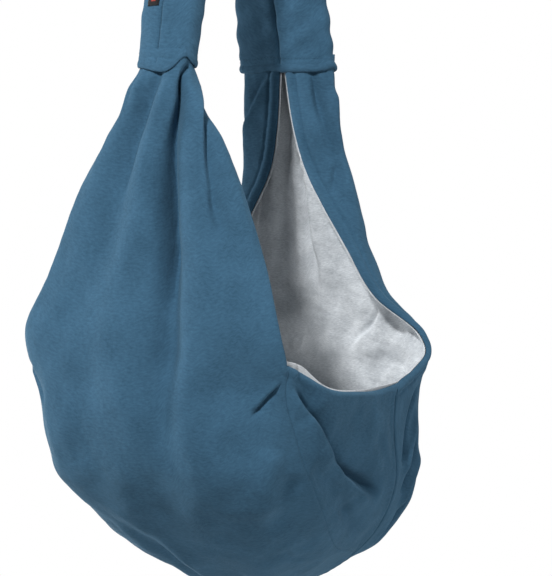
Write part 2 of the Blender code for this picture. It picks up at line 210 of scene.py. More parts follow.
def side_bowl(side, g, t):
    g, t = np.broadcast_arrays(np.asarray(g, float), np.asarray(t, float))
    angle = -belly_edge(-1) + (belly_edge(1) + belly_edge(-1)) * g
    head = polar(angle, 1.0)
    return bowl((head + (POINT - head) * t[..., None]) * np.array([side, 1]))


def side_wall(side, g, t):
    """A side panel above the belly. g runs from its near to its far seam, t downwards."""
    g, t = np.broadcast_arrays(np.asarray(g, float), np.asarray(t, float))
    ends = []
    step = 0.01
    for end in (-1, 1):
        r = SEAM_TOP[end] + (1 - SEAM_TOP[end]) * t
        edge = end_wall(end, side, r)[0]
        along = edge - end_wall(end, side * (1 - step), r)[0]
        ends.append((edge, unit(along)))
    (a, leave), (b, arrive) = ends
    reach = np.linalg.norm(b - a, axis=-1, keepdims=True)
    h = g[..., None]
    points = (2 * h**3 - 3 * h**2 + 1) * a + (h**3 - 2 * h**2 + h) * reach * leave
    points = points + (3 * h**2 - 2 * h**3) * b - (h**3 - h**2) * reach * arrive
    sag = through(MOUTH_AT, np.array(MOUTH_SAG) * MM, g) * (1 - t) ** 2
    return points + np.stack([0 * sag, 0 * sag, sag], -1)


def side_place(side, g, s):
    """A point of a side panel: s is 0 at the mouth, 1 at the belly and 2 at its low point."""
    g, s = np.broadcast_arrays(np.asarray(g, float), np.asarray(s, float))
    t = np.minimum(s, 1)
    miss = side_bowl(side, g, 0 * g) - side_wall(side, g, np.ones_like(g))
    wall = side_wall(side, g, t) + miss * (t**2)[..., None]
    return np.where((s <= 1)[..., None], wall, side_bowl(side, g, np.maximum(s - 1, 0)))


def end_place(end, f, s):
    """A point of an end panel: s is 0 at the strap, 1 at the belly and 2 under the base."""
    f, s = np.broadcast_arrays(np.asarray(f, float), np.asarray(s, float))
    wall = end_wall(end, f, np.clip(s, 0, 1))[0]
    return np.where((s <= 1)[..., None], wall, end_bowl(end, f, np.clip(s - 1, 0, 1)))


# ---------------------------------------------------------------- fine grids
HALF_COLUMNS = 110
OPEN_ROWS, SEAM_ROWS, BOWL_ROWS, SIDE_COLUMNS = 130, 44, 60, 110
NECK_RISES = (0.016, 0.0125, 0.009, 0.006, 0.003)  # rows of a neck above the strap's end
EDGE_DENSE = 0.35  # how much closer the grid lines are at an edge than on average
PANELS = ("near_end", "far_end", "left_side", "right_side")


def dense_at_start(steps):
    w = np.linspace(0, 1, steps + 1)
    return EDGE_DENSE * w + (1 - EDGE_DENSE) * w**2


def panel_grid(name):
    """Base points, section directions, column and row numbers of a panel's fine grid."""
    below = dense_at_start(SEAM_ROWS)
    low = np.linspace(0, 1, BOWL_ROWS + 1)[1:]
    if name.endswith("side"):
        side = 1 if name == "right_side" else -1
        half = dense_at_start(SIDE_COLUMNS // 2) / 2
        g = np.concatenate([half, 1 - half[-2::-1]])
        s = np.concatenate([below, 1 + low])
        points = side_place(side, g, s[:, None])
        return points, None, g, s
    end = 1 if name == "far_end" else -1
    half = 1 - dense_at_start(HALF_COLUMNS)
    f = np.concatenate([-half, half[-2::-1]])
    beside_seam = SEAM_TOP[end] + (1 - SEAM_TOP[end]) * below[1:]
    r = np.concatenate([np.linspace(0, SEAM_TOP[end], OPEN_ROWS), beside_seam])
    s = np.concatenate([r, 1 + low])
    points = end_place(end, f, s[:, None])
    out = end_wall(end, f, np.minimum(s, 1)[:, None])[1]
    rises = np.array(NECK_RISES)
    neck = points[:1] + rises[:, None, None] * np.array([0, 0, 1.0])
    points = np.concatenate([neck, points])
    out = np.concatenate([np.repeat(out[:1], len(rises), 0), out])
    return points, out, f, np.concatenate([-rises, s])


def grid_quads(number, wrap=False):
    """Faces of a grid of point numbers, closed round on itself or not."""
    if wrap:
        number = np.column_stack([number, number[:, 0]])
    corners = [number[:-1, :-1], number[:-1, 1:], number[1:, 1:], number[1:, :-1]]
    return np.stack(corners, -1).reshape(-1, 4)


def facing(grids):
    """Outward normals of grids that share some of their border points."""
    points = np.concatenate([g.reshape(-1, 3) for g in grids])
    same = np.unique(np.round(points, 6), axis=0, return_inverse=True)[1].reshape(-1)
    total = np.zeros((same.max() + 1, 3))
    start = 0
    for grid in grids:
        number = start + np.arange(grid.shape[0] * grid.shape[1]).reshape(grid.shape[:2])
        start += number.size
        a, b, c, d = grid_quads(number).T
        normal = np.cross(points[c] - points[a], points[d] - points[b])
        middle = (points[a] + points[c]) / 2 - np.array([0, 0, (BELLY_Z + TIP_Z) / 2])
        if np.sum(normal * middle) < 0:
            normal = -normal
        for corner in (a, b, c, d):
            np.add.at(total, same[corner], normal)
    total = unit(total)[same]
    cuts = np.cumsum([g.shape[0] * g.shape[1] for g in grids])[:-1]
    return [t.reshape(g.shape) for t, g in zip(np.split(total, cuts), grids)]


GRID = {name: panel_grid(name) for name in PANELS}
OUT = dict(zip(PANELS, facing([GRID[name][0] for name in PANELS])))
# Up at the necks the layers are offset along the section, lower down along the normal.
for name in ("near_end", "far_end"):
    _, along_section, _, rows = GRID[name]
    share = smooth((rows - SECTION_UNTIL) / (NORMAL_FROM - SECTION_UNTIL))
    OUT[name] = along_section + (OUT[name] - along_section) * share[:, None, None]


# ---------------------------------------------------------------- distances
def nearest(points, line):
    """Distance from each point to a dense line of points, and the nearest one's number."""
    tree = KDTree(len(line))
    for i, p in enumerate(line):
        tree.insert(p, i)
    tree.balance()
    found = [tree.find(p) for p in points.reshape(-1, 3)]
    far = np.array([hit[2] for hit in found]).reshape(points.shape[:-1])
    return far, np.array([hit[1] for hit in found]).reshape(points.shape[:-1])


LINE_POINTS = 700


def rim_lines():
    """The mouth's edge in one piece, and the seams."""
    lines = {}
    fine = np.linspace(0, 1, LINE_POINTS)
    mouth = []
    for side in (-1, 1):
        near = end_wall(-1, side, fine * SEAM_TOP[-1])[0]
        far = end_wall(1, side, fine[::-1] * SEAM_TOP[1])[0]
        mouth.append(np.concatenate([near, side_place(side, fine, 0 * fine), far]))
    lines["mouth"] = np.concatenate([mouth[0], mouth[1][::-1]])
    seams = [end_place(1, np.linspace(-1, 1, LINE_POINTS), np.full(LINE_POINTS, 2.0))]
    for end in (-1, 1):
        for side in (-1, 1):
            s = SEAM_TOP[end] + (2 - SEAM_TOP[end]) * fine
            seams.append(end_place(end, side + 0 * s, s))
    lines["seams"] = np.concatenate(seams)
    return lines


def run_along(line):
    """How far along a line of points each of them is."""
    return np.concatenate([[0], np.cumsum(np.linalg.norm(np.diff(line, axis=0), axis=1))])


LINES = rim_lines()
MOUTH_RUN = run_along(LINES["mouth"])
PATH_POINTS = 80
OFF_PATH = 0.006  # cloth further than this above or below a path lies on another face


def from_path(points, normals, path, flip):
    """Signed distance along the cloth from a path over it, and how far along it, from 0 to 1.

    flip is 1 or -1 and says which side of the path counts as the positive one.
    """
    step = np.linalg.norm(np.diff(path, axis=0), axis=1).mean()
    tangent = unit(np.gradient(path, axis=0))
    flat, up = points.reshape(-1, 3), normals.reshape(-1, 3)
    i = np.argmin(((flat[:, None] - path[None]) ** 2).sum(-1), axis=1)
    away = flat - path[i]
    rise = (away * up).sum(-1)
    away = away - up * rise[:, None]
    along = (away * tangent[i]).sum(-1)
    inner = (i > 0) & (i < len(path) - 1)
    square = away - tangent[i] * along[:, None]
    far = np.where(inner, np.linalg.norm(square, axis=1), np.linalg.norm(away, axis=1))
    far = np.hypot(far, 2 * np.maximum(np.abs(rise) - OFF_PATH, 0))
    side = np.sign((np.cross(up, tangent[i]) * away).sum(-1)) * flip
    u = np.clip((i + np.clip(along / step, -1, 1)) / (len(path) - 1), 0, 1)
    return (far * side).reshape(points.shape[:-1]), u.reshape(points.shape[:-1])


# ---------------------------------------------------------------- folds
def rng_waves(points, wavelength, seed, stretch=(1, 1, 1), count=9):
    """A soft random field with about the given wavelength and a spread of 1."""
    r = np.random.default_rng(seed)
    ways = unit(r.normal(size=(count, 3)))
    lengths = wavelength * r.uniform(0.7, 1.5, count)
    phase = r.uniform(0, 2 * np.pi, count)
    total = 0
    for way, length, start in zip(ways, lengths, phase):
        total = total + np.sin(points @ (way * np.array(stretch)) * (2 * np.pi / length) + start)
    return total / math.sqrt(count / 2)


class Fold:
    """A fold along a path over a panel.

    before and after are the heights, in millimetres outwards, of the cloth on either side
    of the path at its start and its end. width_before and width_after say how far each
    side reaches, edge how wide the change between them is, and fade which share of the
    path the fold takes to begin and to end.
    """

    def __init__(self, path, before, after, width_before, width_after, edge=(3, 5),
                 fade=(0.1, 0.3)):
        self.path, self.fade = path, fade
        sides = (before, after, width_before, width_after, edge)
        self.sides = [np.array(v, float) * MM for v in sides]

    def height(self, name, points, normals):
        knots, flip = place(name, *np.array(self.path, float).T)
        run = run_along(knots)
        line = through(run / run[-1], knots, np.linspace(0, 1, PATH_POINTS))
        d, u = from_path(points, normals, line, flip)
        values = (v[0] + (v[1] - v[0]) * u for v in self.sides)
        before, after, width_before, width_after, edge = values
        share = smooth(d / (2 * edge) + 0.5)
        height = before * bump(d, width_before) * (1 - share)
        height = height + after * bump(d, width_after) * share
        start, stop = self.fade
        grow = smooth(u / start) if start else 1
        return height * grow * (smooth((1 - u) / stop) if stop else 1)


def place(name, c, s):
    """Points of a panel by column and row number, and the flip of its paths."""
    if name == "near_end":
        return end_place(-1, c, s), 1
    if name == "far_end":
        return end_place(1, c, s), -1
    side = 1 if name == "right_side" else -1
    return side_place(side, c, s), side


def valley(path, depth, width, fade=(0.15, 0.3)):
    """A fold with the same depth on both sides."""
    depth = np.array(depth, float)
    return Fold(path, -depth, -depth, width, width, fade=fade)


def ridge(path, height, width, fade=(0.15, 0.3)):
    return valley(path, -np.array(height, float), width, fade)


def neck_pleats(places, depth, reach):
    """Pleats that run down from the strap's end at these column numbers."""
    made = []
    for i, f in enumerate(places):
        down = reach * (0.75 + 0.5 * ((i * 37) % 10) / 10)  # no two of them equally long
        path = [(f * 1.02, 0.0), (f * 0.98, down / 2), (f * 0.96, down)]
        made.append(Fold(path, (1.6, 0.8), (-depth, -depth / 2), (6, 12), (4, 9), (1.5, 4),
                         (0, 0.55)))
    return made


# Folds of all the layers together. Paths are column and row numbers of their panel.
MOUTH_CREASE = [(0.95, 0.745), (0.83, 0.793), (0.66, 0.85)]
NEAR_FOLDS = [
    # the deep fold down from the strap, opening out lower down
    valley([(0.5, 0), (0.37, 0.017), (0.27, 0.077), (0.12, 0.207), (0.1, 0.323),
            (0.12, 0.453), (0.13, 0.6)], (12, 24), (2.6, 8.5), (0, 0.3)),
    valley([(0.2, 0.12), (0.1, 0.207), (0.08, 0.323), (0.1, 0.453), (0.11, 0.617),
            (0.09, 0.817), (0.06, 0.947), (0.04, 1.08)], (8, 26), (7, 18), (0.25, 0.5)),
    # the puffy crests left of it, with a trough between them
    ridge([(0.2, 0), (0.06, 0.077), (-0.01, 0.207), (-0.04, 0.327), (-0.07, 0.453),
           (-0.1, 0.623), (-0.13, 0.823)], (6.5, 7), (8, 22), (0.03, 0.45)),
    valley([(0.05, 0), (-0.04, 0.077), (-0.14, 0.207), (-0.18, 0.303), (-0.22, 0.44)],
           (7, 4.5), (5, 12), (0, 0.5)),
    ridge([(-0.12, 0), (-0.24, 0.073), (-0.28, 0.207), (-0.31, 0.4)],
          (6.5, 5), (9, 20), (0.03, 0.5)),
    # the flatter fold on its right and the layer tucked behind it
    ridge([(0.58, 0.02), (0.42, 0.09), (0.25, 0.21), (0.25, 0.36), (0.28, 0.55), (0.28, 0.75)],
          (3, 6), (7, 18), (0.1, 0.5)),
    Fold([(0.8, 0), (0.71, 0.017), (0.58, 0.077), (0.38, 0.207), (0.36, 0.32), (0.37, 0.43)],
         (3, 2.4), (-8, -5), (6, 12), (6, 16), (1.2, 5), (0, 0.5)),
    valley([(0.36, 0.28), (0.42, 0.36), (0.5, 0.44)], (5, 4), (4.5, 7), (0.4, 0.4)),
    ridge([(0.52, 0.3), (0.6, 0.42), (0.66, 0.56)], (3, 3), (9, 16), (0.3, 0.4)),
    # a short sharp crease at the low end of the mouth
    Fold(MOUTH_CREASE, (2.4, 2.8), (-0.6, -2.6), (8, 10), (5, 9), (1, 1.6), (0.3, 0.3)),
    valley(MOUTH_CREASE, (2.4, 4.6), (1.3, 2.4), (0.25, 0.25)),
    valley([(0.72, 0.7), (0.6, 0.78), (0.45, 0.85)], (1.6, 1), (12, 14), (0.3, 0.4)),
    # broad, slack folds low down
    ridge([(-0.05, 1.325), (-0.02, 1.5), (-0.01, 1.7)], (4, 3.6), (8, 11), (0.3, 0.3)),
    valley([(-0.2, 1.25), (-0.12, 1.5), (-0.1, 1.72)], (5, 4.4), (10, 12), (0.3, 0.3)),
    ridge([(0.8, 0.93), (0.62, 1.08), (0.48, 1.3)], (4, 3), (16, 20)),
    valley([(0.9, 1.02), (0.72, 1.2), (0.6, 1.42)], (5, 3.6), (11, 14)),
    valley([(0.46, 0.62), (0.4, 0.8), (0.3, 1.02)], (5, 4), (14, 20), (0.4, 0.4)),
    valley([(0.55, 1.5), (0.62, 1.6), (0.72, 1.66)], (2.2, 1.8), (5, 6)),
    ridge([(-0.38, 0.1), (-0.42, 0.3), (-0.44, 0.55)], (2.6, 2.2), (10, 26)),
    valley([(-0.58, 0.02), (-0.62, 0.2), (-0.66, 0.42)], (3.6, 2.6), (6, 18), (0, 0.5)),
    valley([(-0.2, 0.25), (-0.24, 0.5), (-0.25, 0.75)], (2.2, 2), (16, 34), (0.3, 0.4)),
    Fold([(-0.95, 0.73), (-0.8, 0.8), (-0.6, 0.86)],
         (1.6, 1.2), (-2.4, -1.6), (8, 8), (7, 9), (1.2, 2.5), (0.15, 0.4)),
    valley([(-0.88, 1), (-0.7, 1.18), (-0.55, 1.4)], (3, 2), (11, 14)),
]
NEAR_FOLDS += neck_pleats((-0.82, -0.3, -0.12, 0.84), 2.6, 0.13)

FAR_FOLDS = [
    # the valley down the middle of the lining and the ridge to its right
    ridge([(-0.04, 0), (-0.05, 0.077), (-0.08, 0.193), (-0.1, 0.34), (-0.11, 0.48),
           (-0.1, 0.62)], (9, 14), (4, 9), (0, 0.3)),
    Fold([(0.03, 0), (0, 0.077), (0, 0.187), (0.02, 0.25), (0.03, 0.34), (0.03, 0.41),
          (0.04, 0.483), (0.04, 0.543), (0.03, 0.62)],
         (5, 8), (-6, -10), (6, 26), (7, 24), (1.2, 3.6), (0.05, 0.4)),
    # the small folds of the lining left of it
    Fold([(-0.12, 0), (-0.15, 0.067), (-0.22, 0.15), (-0.29, 0.237), (-0.33, 0.317),
          (-0.4, 0.43)],
         (-5, -4), (8, 8), (7, 12), (4, 9), (1.1, 1.8), (0, 0.4)),
    valley([(-0.16, 0.42), (-0.24, 0.5), (-0.32, 0.56)], (2.4, 2.2), (6, 8), (0.3, 0.4)),
    # the corner under the seam
    Fold([(0.4, 0.605), (0.28, 0.665), (0.17, 0.72), (0.05, 0.785)],
         (3.4, 2.4), (-2, -1.4), (3, 4), (8, 8), (1, 1.6), (0.1, 0.5)),
    valley([(0.62, 0.64), (0.55, 0.72), (0.42, 0.8), (0.3, 0.84)],
           (3.5, 2.5), (5, 9), (0.2, 0.4)),
    # the outside, right of the strap
    valley([(0.8, 0), (0.77, 0.057), (0.72, 0.123), (0.71, 0.227), (0.8, 0.32),
            (0.87, 0.407)], (9, 5), (5, 10), (0, 0.4)),
    valley([(0.66, 0.2), (0.8, 0.27), (0.93, 0.33)], (3.4, 2.4), (4, 6), (0.3, 0.4)),
    ridge([(0.6, 0.03), (0.61, 0.14), (0.64, 0.3), (0.68, 0.46)],
          (5, 3.5), (8, 15), (0.08, 0.4)),
    Fold([(-0.97, 0), (-0.92, 0.017), (-0.81, 0.067), (-0.66, 0.13), (-0.55, 0.2)],
         (1.6, 1.2), (-3, -2), (5, 7), (5, 9), (1.2, 3), (0, 0.4)),
    valley([(0.36, 0), (0.34, 0.16), (0.36, 0.36)], (3.2, 2.2), (6, 14), (0, 0.5)),
    valley([(-0.55, 0), (-0.5, 0.22), (-0.52, 0.46)], (3.4, 2.2), (6, 16), (0, 0.5)),
    ridge([(-0.72, 0.06), (-0.68, 0.28), (-0.72, 0.48)], (2.6, 1.8), (8, 15)),
    # folds that run into the far seams
    valley([(0.74, 0.84), (0.83, 0.92), (0.91, 1.02), (0.96, 1.16)], (9, 8), (4, 4), (0.3, 0.2)),
    ridge([(0.7, 0.9), (0.79, 0.98), (0.88, 1.1), (0.93, 1.28)], (4, 4), (4.5, 5), (0.3, 0.2)),
    valley([(0.64, 0.94), (0.74, 1.04), (0.84, 1.2), (0.89, 1.42)],
           (11, 10), (4.5, 4.5), (0.3, 0.2)),
    ridge([(0.6, 1.04), (0.7, 1.14), (0.79, 1.3), (0.84, 1.52)], (4, 4), (5, 5.5), (0.3, 0.2)),
    valley([(0.56, 1.14), (0.65, 1.24), (0.74, 1.4), (0.77, 1.58), (0.66, 1.74)],
           (10, 9), (5, 5.5), (0.3, 0.2)),
    valley([(-0.84, 0.8), (-0.93, 0.92), (-0.97, 1.15)], (3.6, 2.6), (7, 7), (0.25, 0.2)),
    valley([(-0.68, 0.86), (-0.82, 1), (-0.92, 1.25)], (3.6, 2.6), (9, 8), (0.25, 0.2)),
    valley([(0.2, 1.05), (0.05, 1.3), (0.02, 1.6)], (2.4, 2), (14, 16)),
    valley([(-0.35, 1), (-0.22, 1.3), (-0.16, 1.6)], (2.4, 2), (14, 16)),
]
FAR_FOLDS += neck_pleats((-0.3, 0.18, 0.62), 2.4, 0.11)

SIDE_CREASE = [(0.03, 0.17), (0.12, 0.35), (0.23, 0.55), (0.42, 0.85), (0.62, 1.108),
               (0.72, 1.275), (0.76, 1.42)]
SIDE_FOLDS = [
    # the deep crease from the near corner of the mouth down to the far seam
    Fold(SIDE_CREASE, (4.5, 4.5), (-4, -9), (11, 14), (8, 17), (1.5, 2.2), (0.1, 0.15)),
    valley(SIDE_CREASE, (4, 14), (1.8, 5.5), (0.12, 0.15)),
    valley([(0.47, 1.22), (0.5, 1.48), (0.54, 1.75)], (4, 4), (7, 9), (0.4, 0.4)),
    valley([(0.05, 0.05), (0.14, 0.2), (0.24, 0.34)], (2.6, 2.2), (5, 6), (0.1, 0.4)),
    ridge([(0.1, 0.45), (0.22, 0.8), (0.34, 1.1)], (3, 2.6), (11, 12)),
    valley([(0.12, 0.95), (0.3, 1.18), (0.46, 1.35)], (4.6, 3.6), (8, 9), (0.2, 0.3)),
    valley([(0.34, 1.3), (0.46, 1.46), (0.6, 1.56)], (2.6, 2.2), (6, 8), (0.4, 0.4)),
    ridge([(0.62, 0.3), (0.72, 0.62), (0.8, 0.92)], (1.4, 1.2), (12, 12)),
    valley([(0.78, 0.7), (0.84, 0.98), (0.86, 1.25)], (1.6, 1.4), (6, 6)),
]
FOLDS = {"near_end": NEAR_FOLDS, "far_end": FAR_FOLDS, "right_side": SIDE_FOLDS,
         "left_side": SIDE_FOLDS}

# ---------------------------------------------------------------- relief of each layer
SHELL_THICK, SHELL_EDGE = 0.0041, 0.0025  # with its wadding, and at the mouth's edge
LINING_DEPTH, LINING_EDGE = 0.0045, 0.0027  # how deep the lining's hidden face lies
LINING_THICK = 0.0010
PINCH_REACH, PROUD_REACH = 0.004, 0.006  # how far from the edge the layers change
NECK_FREE = 0.05  # section number from which a fold may stand out of the strap's width
PUCKER_PITCH, TUG_PITCH = 0.0135, 0.011
SHORT_CATCH = 0.25  # how hard the rolled edge is caught down, against 1 at the far end
NEAR_SEAM, OTHER_SEAMS = 0.35, 1.2  # how deep the seams are drawn


def relief(name):
    """Heights that all layers share, of the shell alone and of the lining alone, and the
    distance from the mouth, all in metres."""
    points, _, _, rows = GRID[name]
    out = OUT[name]
    shared = sum(fold.height(name, points, out) for fold in FOLDS[name])
    top = 1
    if name.endswith("end"):
        free = smooth(rows / NECK_FREE)[:, None]
        shared = np.where(shared > 0, shared * free, shared * (0.45 + 0.55 * free))
        top = smooth(rows / 0.1)[:, None]
    slack = rng_waves(points, 0.075, 3, (1, 1, 0.45)) * 1.5
    slack = slack + rng_waves(points, 0.032, 5, (1, 1, 0.6)) * 0.42
    from_mouth, mouth_at = nearest(points, LINES["mouth"])
    from_seam, seam_at = nearest(points, LINES["seams"])
    calm = smooth(from_mouth / 0.03) * smooth(from_seam / 0.02)
    shared = shared * (0.35 + 0.65 * smooth(from_seam / 0.007)) + slack * MM * calm * top
    # From here on in millimetres: e from the mouth's edge, q from a seam.
    e, q = from_mouth / MM, from_seam / MM
    # The rolled edge round the mouth, puckered along the line where it is caught down.
    run = MOUTH_RUN[mouth_at]
    pucker = np.sin(2 * np.pi * run / PUCKER_PITCH + 2.2 * np.sin(run / 0.021))
    pucker = pucker * bump(e - 9.5, 4.0)
    caught = 1.0 if name == "far_end" else SHORT_CATCH
    edge = -2.3 * rounding(e, 4.2) + (0.5 + 0.6 * caught) * bump(e - 5.0, 3.0)
    edge = edge - caught * bump(e - 10.0, 1.7) + 0.2 * caught * pucker
    # The seams, sunk between two puffed allowances.
    tug = np.sin(2 * np.pi * (points[..., 2] + points[..., 0]) / TUG_PITCH) * bump(q - 4.0, 3.0)
    near = (seam_at >= LINE_POINTS) & (seam_at < 3 * LINE_POINTS)
    seam = -1.1 * bump(q, 1.0) + 0.4 * bump(q - 4.0, 3.0) + 0.07 * tug
    seam = seam * np.where(near, NEAR_SEAM, OTHER_SEAMS) * smooth((e - 3) / 4)
    fine = rng_waves(points, 0.014, 11, (1, 1, 0.8)) * 0.10 * smooth(e / 8)
    shell = edge + seam + fine
    inner = rng_waves(points, 0.021, 17, (1, 1, 0.7)) * 0.75 + rng_waves(points, 0.010, 19) * 0.16
    inner = inner * smooth(e / 6) + 2.7 * rounding(e, 4.0)
    inner = inner - 0.7 * bump(q, 1.3) * smooth((e - 2) / 4)
    return shared, shell * MM, inner * MM, from_mouth


def edge_way(name):
    """The direction in the cloth that leads over the mouth's edge."""
    points, _, columns, _ = GRID[name]
    if name.endswith("side"):
        return -unit(np.gradient(points, axis=0))
    return unit(np.gradient(points, axis=1)) * np.where(columns < 0, -1, 1)[None, :, None]


def proud(name):
    """How far the lining stands over the edge of the shell, in metres."""
    points, _, columns, _ = GRID[name]
    base = np.full(points.shape[:2], 1.5)
    if name == "right_side":
        base = base + 1.0 + 5.5 * bump(columns - 0.13, 0.10) + 2.2 * bump(columns - 0.80, 0.12)
    if name == "left_side":
        base = base + 1.5 * bump(columns - 0.30, 0.15)
    return base * MM


# ---------------------------------------------------------------- making meshes
def link(name, data, material=None):
    if material:
        data.materials.append(material)
    made = bpy.data.objects.new(name, data)
    bpy.context.scene.collection.objects.link(made)
    return made


def cloth_mesh(name, points, faces, uv, material):
    """A smooth mesh with a pair of cloth coordinates for each point."""
    mesh = bpy.data.meshes.new(name)
    mesh.from_pydata(points.tolist(), [], faces)
    layer = mesh.uv_layers.new(name="cloth")
    corner = np.empty(len(mesh.loops), np.int32)
    mesh.loops.foreach_get("vertex_index", corner)
    layer.data.foreach_set("uv", np.asarray(uv, np.float32)[corner].ravel())
    mesh.shade_smooth()
    return link(name, mesh, material)


def from_quads(name, points, faces, uv, material):
    """A body with its faces turned outwards."""
    a, b, c, d = (points[faces[:, k]] for k in range(4))
    if np.sum((a + c) * np.cross(c - a, d - b)) < 0:
        faces = faces[:, ::-1]
    return cloth_mesh(name, points, faces.tolist(), uv, material)


def metric(points):
    """Cloth coordinates of a grid, in metres across and down the cloth."""
    across = np.linalg.norm(np.diff(points, axis=1), axis=-1)
    down = np.linalg.norm(np.diff(points, axis=0), axis=-1)
    u = np.concatenate([np.zeros((len(points), 1)), np.cumsum(across, 1)], 1)
    u = u - u[:, [points.shape[1] // 2]]
    v = np.concatenate([np.zeros((1, points.shape[1])), np.cumsum(down, 0)], 0)
    v = v - v[len(points) // 2].min()
    return np.stack([u, v], -1)


def thin_body(name, outer, inner, material, wrap=False):
    """A closed body between two grids of points with the same rows and columns."""
    rows, columns = outer.shape[:2]
    out = np.arange(rows * columns).reshape(rows, columns)
    back = out + rows * columns
    faces = [grid_quads(out, wrap), grid_quads(back, wrap)[:, ::-1]]
    for pair in ((back[0], out[0]), (out[-1], back[-1])):
        faces.append(grid_quads(np.stack(pair), wrap))
    if not wrap:
        for pair in ((out[:, 0], back[:, 0]), (back[:, -1], out[:, -1])):
            faces.append(grid_quads(np.stack(pair)))
    points = np.concatenate([outer.reshape(-1, 3), inner.reshape(-1, 3)])
    uv = np.concatenate([metric(outer).reshape(-1, 2), metric(inner).reshape(-1, 2)])
    return from_quads(name, points, np.concatenate(faces), uv, material)


# ---------------------------------------------------------------- materials
def new_material(name, colour, roughness, sheen=0.0, sheen_tint=(1, 1, 1)):
    material = bpy.data.materials.new(name)
    material.use_nodes = True
    shader = material.node_tree.nodes["Principled BSDF"]
    looks = {"Base Color": (*colour, 1), "Roughness": roughness, "Sheen Weight": sheen,
             "Sheen Roughness": 0.5, "Sheen Tint": (*sheen_tint, 1), "Specular IOR Level": 0.12}
    for key, value in looks.items():
        shader.inputs[key].default_value = value
    return material, shader


def add(tree, kind, **values):
    """A new node, with its sockets or its settings given by name."""
    node = tree.nodes.new(kind)
    for key, value in values.items():
        if key in node.inputs:
            node.inputs[key].default_value = value
        else:
            setattr(node, key, value)
    return node


def knit(name, dark, light, roughness, pitch, mottle, streak, fuzz, sheen, sheen_tint):
    """A knitted cloth with loops of the given pitch.

    mottle: scale and share of the broad patches. streak: scale of the flecks across and along,
    then the ends of the colour ramp. fuzz: share of the nap, strength of surface and of dents.
    """
    material, shader = new_material(name, light, roughness, sheen, sheen_tint)
    tree = material.node_tree
    link_up = tree.links.new
    in_place = add(tree, "ShaderNodeTexCoord").outputs["Object"]
    uv = add(tree, "ShaderNodeUVMap", uv_map="cloth").outputs["UV"]

    def noise(vector, scale, detail, roughness):
        node = add(tree, "ShaderNodeTexNoise", Scale=scale, Detail=detail, Roughness=roughness)
        link_up(vector, node.inputs["Vector"])
        return node.outputs["Fac"]

    def mix(share, first, second):
        node = add(tree, "ShaderNodeMix", data_type="FLOAT")
        node.inputs[0].default_value = share
        link_up(first, node.inputs[2])
        link_up(second, node.inputs[3])
        return node.outputs[0]

    def wave(direction, width):
        node = add(tree, "ShaderNodeTexWave", bands_direction=direction, Scale=0.314 / width,
                   Distortion=1.2, Detail=1.0)
        node.inputs["Detail Scale"].default_value = 0.6
        link_up(uv, node.inputs["Vector"])
        return node.outputs["Fac"]

    stretch = add(tree, "ShaderNodeMapping")
    stretch.inputs["Scale"].default_value = (streak[0], streak[1], 1)
    link_up(uv, stretch.inputs["Vector"])
    flecks = noise(stretch.outputs["Vector"], 1.0, 3.0, 0.65)
    ramp = add(tree, "ShaderNodeValToRGB")
    for stop, colour, position in zip(ramp.color_ramp.elements, (dark, light), streak[2:]):
        stop.position, stop.color = position, (*colour, 1)
    link_up(mix(mottle[1], flecks, noise(in_place, mottle[0], 3.0, 0.55)), ramp.inputs["Fac"])
    link_up(ramp.outputs["Color"], shader.inputs["Base Color"])
    # The loops: wales across, courses down, and a brushed nap over them.
    loops = add(tree, "ShaderNodeMath", operation="MULTIPLY")
    link_up(wave("X", pitch), loops.inputs[0])
    link_up(wave("Y", pitch * 0.8), loops.inputs[1])
    surface = mix(fuzz[0], loops.outputs[0], noise(in_place, 1500.0, 2.0, 0.7))
    dents = add(tree, "ShaderNodeBump", Strength=fuzz[2], Distance=0.0016)
    link_up(noise(in_place, 110.0, 2.0, 0.5), dents.inputs["Height"])
    rough = add(tree, "ShaderNodeBump", Strength=fuzz[1], Distance=0.0004)
    link_up(surface, rough.inputs["Height"])
    link_up(dents.outputs["Normal"], rough.inputs["Normal"])
    link_up(rough.outputs["Normal"], shader.inputs["Normal"])
    return material


FLEECE = (0.93, 0.0013, (30, 0.40), (230, 520, 0.34, 0.66), (0.72, 0.65, 0.45), 0.12,
          (0.40, 0.75, 1.0))
WOVEN = ((60, 0.4), (1800, 1800, 0.3, 0.7), (0.2, 0.6, 0.2), 0.05)
PETROL = knit("petrol_fleece", (0.028, 0.076, 0.127), (0.048, 0.122, 0.200), *FLEECE)
PETROL_HEM = knit("petrol_hem", (0.028, 0.074, 0.123), (0.046, 0.116, 0.190), *FLEECE)
MARL = knit("marl_jersey", (0.360, 0.390, 0.420), (0.700, 0.730, 0.755), 0.95, 0.0015,
            (60, 0.35), (260, 1150, 0.30, 0.66), (0.55, 0.6, 0.5), 0.10, (1, 1, 1))
THREAD = knit("petrol_thread", (0.028, 0.084, 0.138), (0.040, 0.112, 0.182), 0.80, 0.0006,
              (60, 0.5), (900, 2500, 0.3, 0.7), (0.3, 0.5, 0.2), 0.1, (0.62, 0.80, 1.0))
TAPE = knit("label_tape", (0.006, 0.006, 0.007), (0.016, 0.016, 0.018), 0.60, 0.0005,
            *WOVEN, (1, 1, 1))
BAR = knit("label_bar", (0.300, 0.030, 0.022), (0.420, 0.060, 0.045), 0.65, 0.0005,
           *WOVEN, (1, 0.8, 0.8))

# ---------------------------------------------------------------- the pouch
GATHERS = {"near_end": "near_gather", "far_end": "far_gather"}


def settle(obj, name):
    """The end panels keep their place with no parent, the side panels are attached to the pouch.
    """
    if name in GATHERS:
        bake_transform(obj)
    else:
        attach(obj, "pouch")


